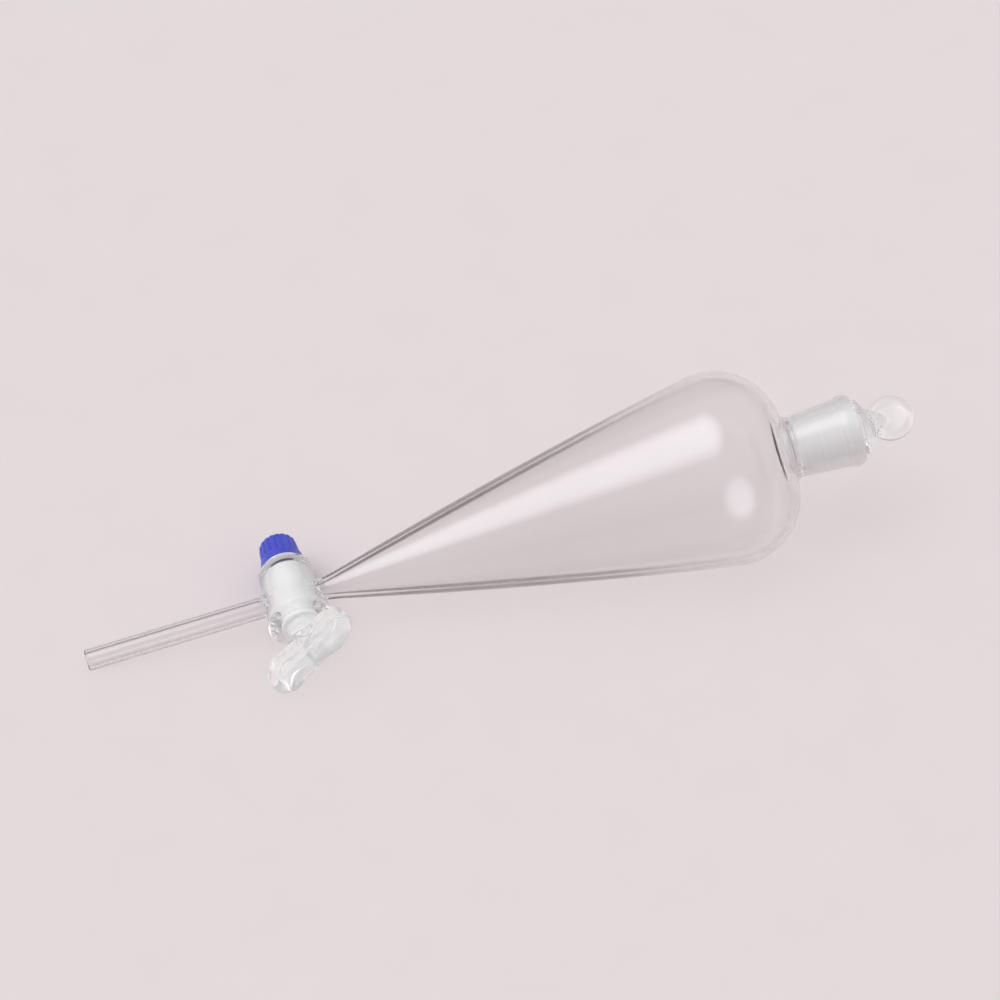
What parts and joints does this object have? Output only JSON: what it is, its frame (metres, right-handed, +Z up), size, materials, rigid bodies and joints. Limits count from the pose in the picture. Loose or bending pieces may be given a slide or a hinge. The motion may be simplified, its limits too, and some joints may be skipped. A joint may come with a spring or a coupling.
{
  "type": "separatory funnel",
  "caption": "Pear-shaped glass separatory funnel with a ground socket, penny-head stopper, glass stopcock, ribbed retaining nut and drain stem, lying on its side.",
  "frame": {"origin": "on the surface that the funnel lies on, under the middle of its bounding box", "axes": "+Z up from the surface; +X level, from the outlet stem's tip towards the stopper; the stopcock's handle points towards -Y and its nut towards +Y. The funnel's own axis climbs 7.6 degrees along +X, because the funnel lies on its shoulder, its stem tip and the handle's lower lobe"},
  "size_m": [0.3146, 0.0728, 0.073],
  "materials": {
    "borosilicate_glass": "clear, fire-polished",
    "ground_glass": "clear outside, white and matt where it is ground",
    "key_glass": "clear pressed glass with a ground taper",
    "nut_plastic": "moulded blue polypropylene",
    "ptfe": "waxy white",
    "ring_rubber": "matt white silicone rubber"
  },
  "bodies": {
    "funnel": {"cone_body": "borosilicate_glass", "ground_socket": "ground_glass", "stopcock_barrel": "ground_glass", "outlet_stem": "borosilicate_glass"},
    "stopper": {"stopper_cone": "ground_glass", "stopper_head": "key_glass"},
    "key": {"key_plug": "key_glass", "key_handle": "key_glass"},
    "washers": {"ptfe_washer": "ptfe", "o_ring": "ring_rubber"},
    "nut": {"retaining_nut": "nut_plastic"}
  },
  "joints": [
    {"name": "stopper_lift", "type": "slide", "parent": "funnel", "child": "stopper", "axis": [0.9911, 0, 0.133], "range_m": [0, 0.035]},
    {"name": "key_turn", "type": "hinge", "parent": "funnel", "child": "key", "pos_m": [-0.07857, 0, 0.01436], "axis": [-0.0054, -0.9992, 0.0404], "continuous": true},
    {"name": "washer_slide", "type": "slide", "parent": "key", "child": "washers", "axis": [0.0054, 0.9992, -0.0404], "range_m": [0, 0.008]},
    {"name": "nut_turn", "type": "hinge", "parent": "washers", "child": "nut", "pos_m": [-0.07844, 0.02498, 0.01335], "axis": [0.0054, 0.9992, -0.0404], "range_deg": [0, 1440]}
  ],
  "couplings": [
    {"joint": "nut_turn", "follows": "washer_slide", "rad_per_m": 3141.6}
  ]
}
